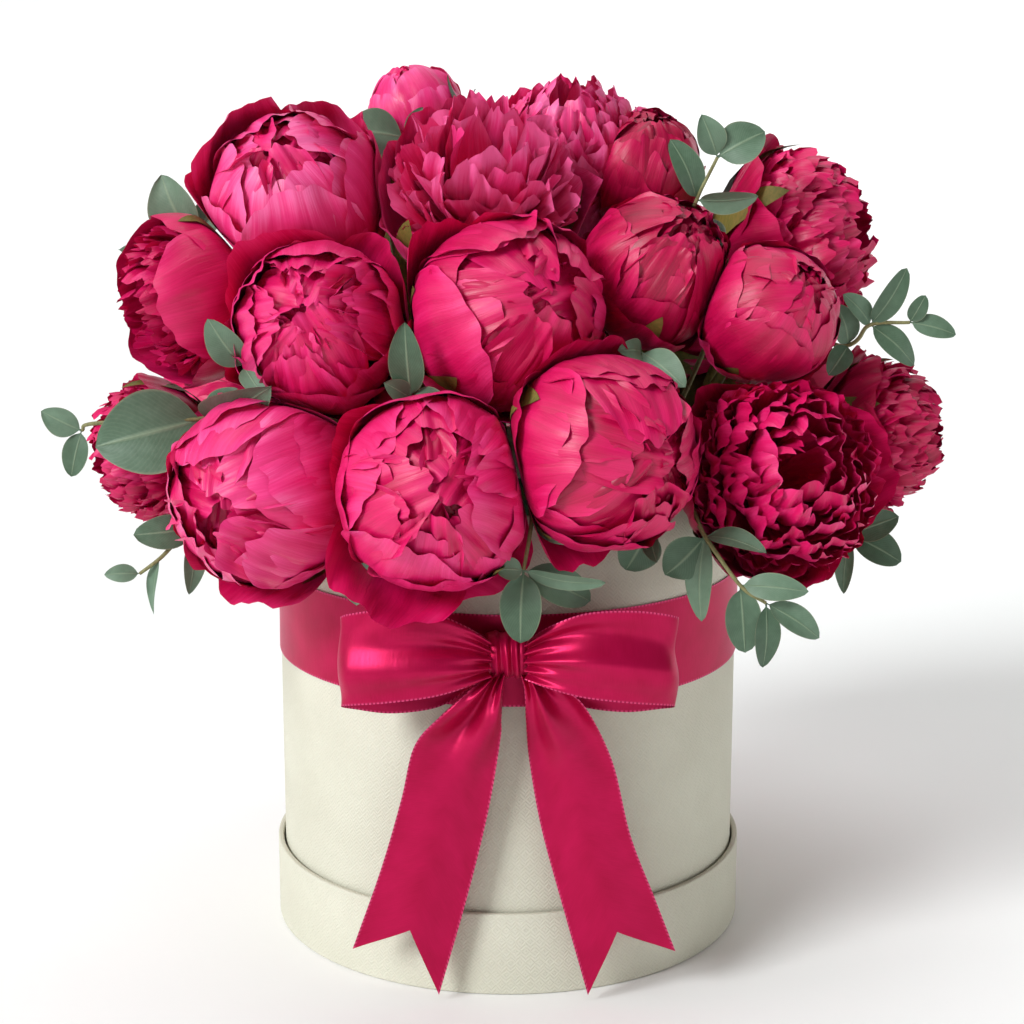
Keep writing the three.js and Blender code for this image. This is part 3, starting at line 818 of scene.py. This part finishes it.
def make_knot(material):
    """The strip round the middle of the bow, pleated, with its sides curled under."""
    low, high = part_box("bow_knot")
    middle = 0.5 * (low + high)
    rows, columns = 61, 97
    angle = np.linspace(math.radians(-112), math.radians(112), rows)[:, None]
    t = np.linspace(-1, 1, columns)[None, :]
    half_width = 0.5 * (high.x - low.x) - 0.3 * MM
    half_height = 0.5 * (high.z - low.z) - 0.4 * MM
    depth = 0.54 * (high.y - low.y)
    curl = 3.2 * MM
    turn = math.pi * np.clip((np.abs(t) - 0.55) / 0.45, 0, 1)
    flat = (half_width - curl) * np.clip(t / 0.55, -1, 1)
    under = curl * (1 - np.cos(turn))
    pleat = 1.2 * MM * np.cos(4.4 * math.pi * t + 0.9 + 0.5 * np.sin(2 * angle)) * (np.abs(t) < 0.6)
    pleat = pleat * smooth_step(0.6, 0.45, np.abs(t)) - 0.7 * MM * smooth_step(0.15, 0.0, np.abs(t + 0.12))
    x = middle.x + (flat + np.sign(t) * curl * np.sin(turn)) * (1 - 0.1 * np.cos(angle))
    y = middle.y + 2 * MM - (depth - under + pleat) * np.cos(angle)
    z = middle.z + (half_height - 0.6 * under + 0.4 * pleat) * np.sin(angle)
    y = np.where(np.abs(angle) > math.radians(90), np.minimum(y, high.y), y)
    grid = np.stack(np.broadcast_arrays(x, y, z), -1)
    ribbon_piece("knot", grid[:, ::-1], material, "bow_knot")


# The inner and the outer edge of each tail, from the knot down to its points, in millimetres.
TAILS = {
    "left": (
        [(-1, -113, 140), (-2, -116, 134), (-2.5, -115, 122), (-3, -112, 112), (-8, -110, 81),
         (-16, -109, 47), (-28, -109, 3)],
        [(-6, -114, 141), (-15, -119, 135), (-27, -119, 124), (-37, -113, 110), (-42.5, -110, 87),
         (-51, -109, 57), (-63, -109, 22)],
    ),
    "right": (
        [(5, -113, 140), (6.5, -116, 134), (7, -115, 122), (8.5, -111, 103), (13.5, -110, 74),
         (23, -109, 38), (32.5, -109, 3)],
        [(12, -114, 141), (22, -119, 136), (31, -119, 127), (41.5, -112, 103), (49, -110, 72),
         (59, -109, 45), (68, -109, 21)],
    ),
}


def make_tail(word, material, rng):
    """A tail: gathered under the knot, spreading as it hangs, and cut to a swallow tail."""
    rows, columns = 121, 61
    edges = [even(smooth_curve(np.array(points) * MM, 4 * rows), rows) for points in TAILS[word]]
    t = np.linspace(0, 1, columns)[None, :]
    s = np.linspace(0, 1, rows)[:, None]
    notch = 0.145
    s = s * (1 - notch * (1 - np.abs(2 * t - 1)))
    low = np.clip((s * (rows - 1)).astype(int), 0, rows - 2)
    part = (s * (rows - 1) - low)[..., None]
    inner, outer = (edge[low] * (1 - part) + edge[low + 1] * part for edge in edges)
    grid = inner * (1 - t[..., None]) + outer * t[..., None]
    phase = rng.uniform(0, 2 * math.pi, 3)
    gather = np.exp(-((s / 0.1) ** 1.3))
    soft = np.exp(-(((s - 0.18) / 0.14) ** 2))
    fold = 2.8 * gather * np.cos(6 * math.pi * t + phase[0])
    fold = fold + 4.6 * soft * np.cos(2.6 * math.pi * t + phase[1] - 8 * s) * np.sin(math.pi * t) ** 0.5
    fold = fold - 2.2 * np.sin(math.pi * t) ** 2 * smooth_step(0.2, 0.5, s)
    fold = fold + 1.6 * np.sin(5.0 * s + 1.8 * t + phase[2]) * smooth_step(0.3, 0.7, s)
    grid[..., 1] += fold * MM
    ribbon_piece(f"tail_{word}", grid, material, f"bow_tail_{word}")


# ------------------------------------------------------------------ materials


class Recipe:
    """A principled material whose nodes are added one at a time."""

    def __init__(self, name, roughness, **sockets):
        self.material = bpy.data.materials.new(name)
        self.material.use_nodes = True
        self.tree = self.material.node_tree
        self.shader = self.tree.nodes["Principled BSDF"]
        self.shader.inputs["Roughness"].default_value = roughness
        for socket, value in sockets.items():
            self.shader.inputs[socket.replace("_", " ")].default_value = value

    def node(self, kind, **settings):
        """A new node, whose settings go to its sockets or else to its properties."""
        made = self.tree.nodes.new(kind)
        for key, value in settings.items():
            if key in made.inputs:
                made.inputs[key].default_value = value
            else:
                setattr(made, key, value)
        return made

    def link(self, source, target):
        """Join one socket to another."""
        self.tree.links.new(source, target)

    def math(self, operation, first, second=None, clamp=False):
        """The result of a sum on sockets or numbers."""
        made = self.tree.nodes.new("ShaderNodeMath")
        made.operation, made.use_clamp = operation, clamp
        for socket, value in zip(made.inputs, (first, second)):
            if isinstance(value, bpy.types.NodeSocket):
                self.link(value, socket)
            elif value is not None:
                socket.default_value = value
        return made.outputs[0]

    def add(self, first, second):
        """first + second."""
        return self.math("ADD", first, second)

    def times(self, first, second):
        """first * second."""
        return self.math("MULTIPLY", first, second)

    def scaled(self, source, scale, turn=0.0):
        """Coordinates stretched along each axis and turned about Z."""
        made = self.tree.nodes.new("ShaderNodeMapping")
        made.inputs["Scale"].default_value = scale
        made.inputs["Rotation"].default_value = (0, 0, turn)
        self.link(source, made.inputs["Vector"])
        return made.outputs[0]

    def noise(self, vector, scale, detail, roughness, distortion=0.0):
        """Noise from 0 to 1 over the coordinates."""
        made = self.node("ShaderNodeTexNoise", Scale=scale, Detail=detail, Roughness=roughness,
                         Distortion=distortion)
        self.link(vector, made.inputs["Vector"])
        return made.outputs["Fac"]

    def ramp(self, factor, stops):
        """A colour looked up along (place, colour) stops."""
        made = self.tree.nodes.new("ShaderNodeValToRGB")
        ramp = made.color_ramp
        while len(ramp.elements) < len(stops):
            ramp.elements.new(0.5)
        for element, (place, colour) in zip(ramp.elements, stops):
            element.position, element.color = place, (*colour, 1)
        self.link(factor, made.inputs["Fac"])
        return made.outputs["Color"]

    def mix(self, factor, first, second):
        """A colour part of the way from the first to the second."""
        made = self.tree.nodes.new("ShaderNodeMix")
        made.data_type, made.blend_type = "RGBA", "MIX"
        for socket, value in ((made.inputs[0], factor), (made.inputs[6], first), (made.inputs[7], second)):
            if isinstance(value, bpy.types.NodeSocket):
                self.link(value, socket)
            else:
                socket.default_value = value if isinstance(value, float) else (*value, 1)
        return made.outputs[2]

    def bump(self, height, strength, distance):
        """Small relief on the surface."""
        made = self.node("ShaderNodeBump", Strength=strength, Distance=distance)
        self.link(height, made.inputs["Height"])
        self.link(made.outputs["Normal"], self.shader.inputs["Normal"])

    def colour(self, socket):
        """The surface's own colour."""
        self.link(socket, self.shader.inputs["Base Color"])

    @property
    def uv(self):
        """The mesh's UVs."""
        return self.node("ShaderNodeUVMap", uv_map="UVMap").outputs["UV"]

    @property
    def place(self):
        """The piece's own coordinates, in metres."""
        return self.node("ShaderNodeTexCoord").outputs["Object"]

    @property
    def tone(self):
        """How pale each point is."""
        return self.node("ShaderNodeAttribute", attribute_name="tone").outputs["Fac"]


def linear(red, green, blue):
    """An 8-bit screen colour as linear light."""
    return tuple(
        (c / 12.92 if c <= 0.04045 else ((c + 0.055) / 1.055) ** 2.4)
        for c in (red / 255, green / 255, blue / 255)
    )


def petal_material():
    """Silky petals: lengthwise veins, paler margins, a velvet sheen."""
    m = Recipe("petal", 0.42, Specular_IOR_Level=0.42, Sheen_Weight=0.3, Sheen_Roughness=0.35)
    m.shader.inputs["Sheen Tint"].default_value = (*linear(255, 70, 150), 1)
    veins = m.noise(m.scaled(m.uv, (5.0, 0.7, 1)), 3.2, 4, 0.6, 0.3)
    cloud = m.noise(m.scaled(m.uv, (0.9, 0.9, 1)), 2.2, 3, 0.5)
    # The tone carries painted shade: darker at the petal bases, deep in each opening and on several
    # right-side heads.
    value = m.add(m.tone, m.times(m.math("SUBTRACT", veins, 0.5), 0.35))
    value = m.add(value, m.times(m.math("SUBTRACT", cloud, 0.5), 0.5))
    m.colour(m.ramp(value, [
        (0.0, linear(122, 0, 38)), (0.3, linear(182, 2, 68)), (0.58, linear(216, 18, 96)),
        (0.85, linear(236, 58, 132)), (1.0, linear(246, 104, 166)),
    ]))
    m.link(m.ramp(cloud, [(0.3, (0.32,) * 3), (0.7, (0.48,) * 3)]), m.shader.inputs["Roughness"])
    crumple = m.node("ShaderNodeTexVoronoi", Scale=1.3)
    m.link(m.scaled(m.uv, (1.0, 2.2, 1), 0.4), crumple.inputs["Vector"])
    height = m.add(m.times(veins, 0.7), m.times(cloud, 0.8))
    m.bump(m.add(height, m.times(crumple.outputs["Distance"], 1.6)), 0.4, 0.6 * MM)
    return m.material


def leaf_material():
    """Waxy sage leaves: a pale midrib, side veins and a paler edge."""
    m = Recipe("eucalyptus", 0.5, Specular_IOR_Level=0.4)
    split = m.node("ShaderNodeSeparateXYZ")
    m.link(m.uv, split.inputs["Vector"])
    away = m.math("ABSOLUTE", split.outputs["X"])
    rib = m.math("SUBTRACT", 1.0, m.times(away, 11.0), clamp=True)
    slant = m.math("SUBTRACT", m.times(split.outputs["Y"], 60.0), m.times(away, 22.0))
    side = m.times(m.math("POWER", m.math("ABSOLUTE", m.math("SINE", slant)), 6.0), 0.07)
    bloom = m.noise(m.place, 240, 4, 0.6)
    value = m.add(m.times(m.tone, 0.75), m.times(bloom, 0.35))
    base = m.ramp(value, [
        (0.1, linear(44, 68, 48)), (0.45, linear(76, 102, 80)), (0.75, linear(104, 130, 108)),
        (1.0, linear(140, 160, 138)),
    ])
    base = m.mix(m.add(m.times(rib, 0.5), side), base, linear(150, 168, 138))
    rim = m.times(m.math("SUBTRACT", m.times(away, 14.0), 13.0, clamp=True), 0.4)
    m.colour(m.mix(rim, base, linear(165, 160, 130)))
    m.bump(m.add(m.times(rib, -1.0), m.times(side, 1.5)), 0.5, 0.4 * MM)
    return m.material


def green_material(name, stops):
    """Stems and sepals: green skin with brown flecks and fine lengthwise lines."""
    m = Recipe(name, 0.6, Specular_IOR_Level=0.35)
    lines = m.noise(m.scaled(m.place, (900, 900, 90)), 1.0, 3, 0.6)
    fleck = m.noise(m.place, 120, 4, 0.7)
    value = m.add(m.times(lines, 0.5), m.times(fleck, 0.5))
    value = m.add(value, m.times(m.math("SUBTRACT", m.tone, 0.5), 0.5))
    m.colour(m.ramp(value, stops))
    m.bump(lines, 0.3, 0.3 * MM)
    return m.material


def paper_material(name, low, high, emboss):
    """Wrapped paper with a fine herringbone emboss and faint clouds."""
    m = Recipe(name, 0.72, Specular_IOR_Level=0.25)
    checks = m.node("ShaderNodeTexChecker", Scale=1.0)
    m.link(m.scaled(m.uv, (520, 210, 1)), checks.inputs["Vector"])
    heights = []
    for turn in (0.8, -0.8):
        wave = m.node("ShaderNodeTexWave", Scale=260.0, Distortion=1.5, Detail=2.0)
        wave.inputs["Detail Scale"].default_value = 1.5
        m.link(m.scaled(m.uv, (1, 1, 1), turn), wave.inputs["Vector"])
        heights.append(wave.outputs["Fac"])
    choose = m.node("ShaderNodeMix", data_type="FLOAT")
    m.link(checks.outputs["Fac"], choose.inputs[0])
    m.link(heights[0], choose.inputs[2])
    m.link(heights[1], choose.inputs[3])
    grain = m.noise(m.uv, 1400, 3, 0.6)
    height = m.add(m.times(choose.outputs[0], 0.7), m.times(grain, 0.6))
    cloud = m.noise(m.uv, 22, 3, 0.5)
    value = m.add(m.times(cloud, 0.75), m.times(height, 0.22))
    m.colour(m.ramp(value, [(0.25, low), (0.75, high)]))
    m.bump(height, emboss, 0.25 * MM)
    return m.material


def satin_material():
    """Satin ribbon: a close weave across it and a stitched edge along each side."""
    m = Recipe("satin", 0.33, Metallic=0.42, Specular_IOR_Level=0.55)
    m.shader.inputs["Specular Tint"].default_value = (*linear(255, 160, 195), 1)
    split = m.node("ShaderNodeSeparateXYZ")
    m.link(m.uv, split.inputs["Vector"])
    across = m.math("ABSOLUTE", m.math("SUBTRACT", split.outputs["X"], 0.5))
    edge = m.math("SUBTRACT", m.times(across, 45.0), 21.3, clamp=True)
    stitches = m.math("ABSOLUTE", m.math("SINE", m.times(split.outputs["Y"], 70.0)))
    weave = m.math("SINE", m.times(split.outputs["Y"], 900.0))
    threads = m.noise(m.scaled(m.uv, (6, 260, 1)), 1.0, 3, 0.6)
    cloud = m.noise(m.uv, 3.0, 2, 0.5)
    value = m.add(m.times(threads, 0.55), m.times(cloud, 0.45))
    base = m.ramp(value, [(0.3, linear(160, 4, 54)), (0.7, linear(190, 14, 76))])
    dots = m.ramp(stitches, [(0.3, linear(118, 6, 48)), (0.8, linear(228, 84, 136))])
    m.colour(m.mix(m.times(edge, 0.8), base, dots))
    height = m.add(m.times(weave, 0.12), m.times(threads, 0.5))
    m.bump(m.add(height, m.times(m.times(edge, stitches), 1.6)), 0.25, 0.2 * MM)
    return m.material


def foam_material():
    """Soaked floral foam: fine open cells and darker wet patches."""
    m = Recipe("wet_foam", 0.9)
    cells = m.node("ShaderNodeTexVoronoi", Scale=900.0)
    m.link(m.place, cells.inputs["Vector"])
    wet = m.noise(m.place, 40, 3, 0.6)
    value = m.add(m.times(cells.outputs["Distance"], 0.5), m.times(wet, 0.6))
    m.colour(m.ramp(value, [(0.2, linear(24, 52, 34)), (0.8, linear(74, 112, 78))]))
    m.bump(cells.outputs["Distance"], 0.8, 0.6 * MM)
    return m.material


def plastic_material():
    """The tub's thin pale plastic, with faint moulding marks."""
    m = Recipe("tub_plastic", 0.3)
    marks = m.noise(m.scaled(m.uv, (60, 600, 1)), 1.0, 2, 0.5)
    m.colour(m.ramp(marks, [(0.3, linear(206, 214, 208)), (0.7, linear(224, 230, 226))]))
    m.bump(marks, 0.15, 0.2 * MM)
    return m.material


# ------------------------------------------------------------------ stage


# The camera fitted to the photo: its place, how far it looks down, its lens and its shift.
CAMERA_PLACE = (0, -0.9158, 0.3835)
CAMERA_PITCH = 12.55
LENS_MM, SENSOR_MM, SHIFT_X = 75.2, 36, 0.004

WORLD_COLOUR, WORLD_STRENGTH = (1, 0.96, 0.88, 1), 0.16
LAMP_COLOUR = (0.96, 0.99, 1.0)

# Each sun: the way to it, its width in degrees and its strength.
SUNS = {
    "key": ((-0.75, -0.66, 0.6), 22, 2.7),
    "side": ((-1.0, 0.0, 0.3), 40, 0.6),
    "top": ((-0.1, 0.1, 1.0), 50, 1.15),
    "back": ((0.3, 0.9, 0.5), 50, 0.5),
}

# The floor's outline, in (radius, height): flat, then swept up. It lies just below Z = 0.
FLOOR_SWEEP = [(0, 0), (1.2, 0), (2.4, 0), (2.9, 0.08), (3.3, 0.3), (3.6, 0.65), (3.7, 1.1)]
FLOOR_DROP = 0.2 * MM
FLOOR_SIDES = 96


def make_stage():
    """A pale floor, soft light from the upper left, and the camera at the front, a little above."""
    m = Recipe("pale_floor", 0.85, Specular_IOR_Level=0.1)
    cloud = m.noise(m.place, 3.0, 2, 0.5)
    m.colour(m.ramp(cloud, [(0.3, (0.93, 0.93, 0.925)), (0.7, (0.95, 0.95, 0.945))]))
    sheets = Sheets()
    sweep = np.array(FLOOR_SWEEP)
    angles = np.arange(FLOOR_SIDES) / FLOOR_SIDES * 2 * math.pi
    grid = np.stack([
        sweep[:, :1] * np.cos(angles), sweep[:, :1] * np.sin(angles),
        np.repeat(sweep[:, 1:], FLOOR_SIDES, 1) - FLOOR_DROP,
    ], -1)
    sheets.add(grid, 0.5, 0.5, 0.5, closed=True)
    sheets.build("floor", [m.material])

    world = bpy.data.worlds.new("studio")
    world.use_nodes = True
    background = world.node_tree.nodes["Background"]
    background.inputs["Color"].default_value = WORLD_COLOUR
    background.inputs["Strength"].default_value = WORLD_STRENGTH
    bpy.context.scene.world = world

    for name, (toward, spread, strength) in SUNS.items():
        lamp = bpy.data.lights.new(name, "SUN")
        lamp.angle, lamp.energy = math.radians(spread), strength
        lamp.color = LAMP_COLOUR
        shown = bpy.data.objects.new(name, lamp)
        shown.rotation_euler = Vector(-np.array(toward)).to_track_quat("-Z", "Y").to_euler()
        bpy.context.scene.collection.objects.link(shown)

    lens = bpy.data.cameras.new("camera")
    lens.lens, lens.sensor_width, lens.shift_x = LENS_MM, SENSOR_MM, SHIFT_X
    camera = bpy.data.objects.new("camera", lens)
    camera.location = CAMERA_PLACE
    camera.rotation_euler = (math.radians(90 - CAMERA_PITCH), 0, 0)
    bpy.context.scene.collection.objects.link(camera)
    bpy.context.scene.camera = camera
    bpy.context.scene.view_settings.view_transform = "Standard"


# ------------------------------------------------------------------ assembly

petals = petal_material()
leaves = leaf_material()
twig = green_material("twig", [(0.3, linear(96, 88, 52)), (0.7, linear(150, 150, 104))])
sepal = green_material("sepal", [
    (0.25, linear(66, 62, 24)), (0.5, linear(110, 104, 46)), (0.8, linear(150, 120, 62)),
])
paper = paper_material("cream_paper", linear(200, 197, 180), linear(215, 213, 197), 0.7)
lining = paper_material("cream_lining", linear(206, 200, 182), linear(220, 215, 198), 0.1)
satin = satin_material()

for name in PEONIES:
    peony_head(name, petals)
    peony_stem(name, sepal)
for name in SPRIGS:
    sprig(name, leaves, twig)

make_box(paper, lining, plastic_material())
make_band(satin)
make_knot(satin)
for side, word in ((-1, "left"), (1, "right")):
    make_loop(side, satin, f"bow_loop_{word}", np.random.default_rng(11 + side))
    make_tail(word, satin, np.random.default_rng(21 + side))

foam = bpy.data.objects["floral_foam"]
foam.data.materials.clear()
foam.data.materials.append(foam_material())

make_stage()
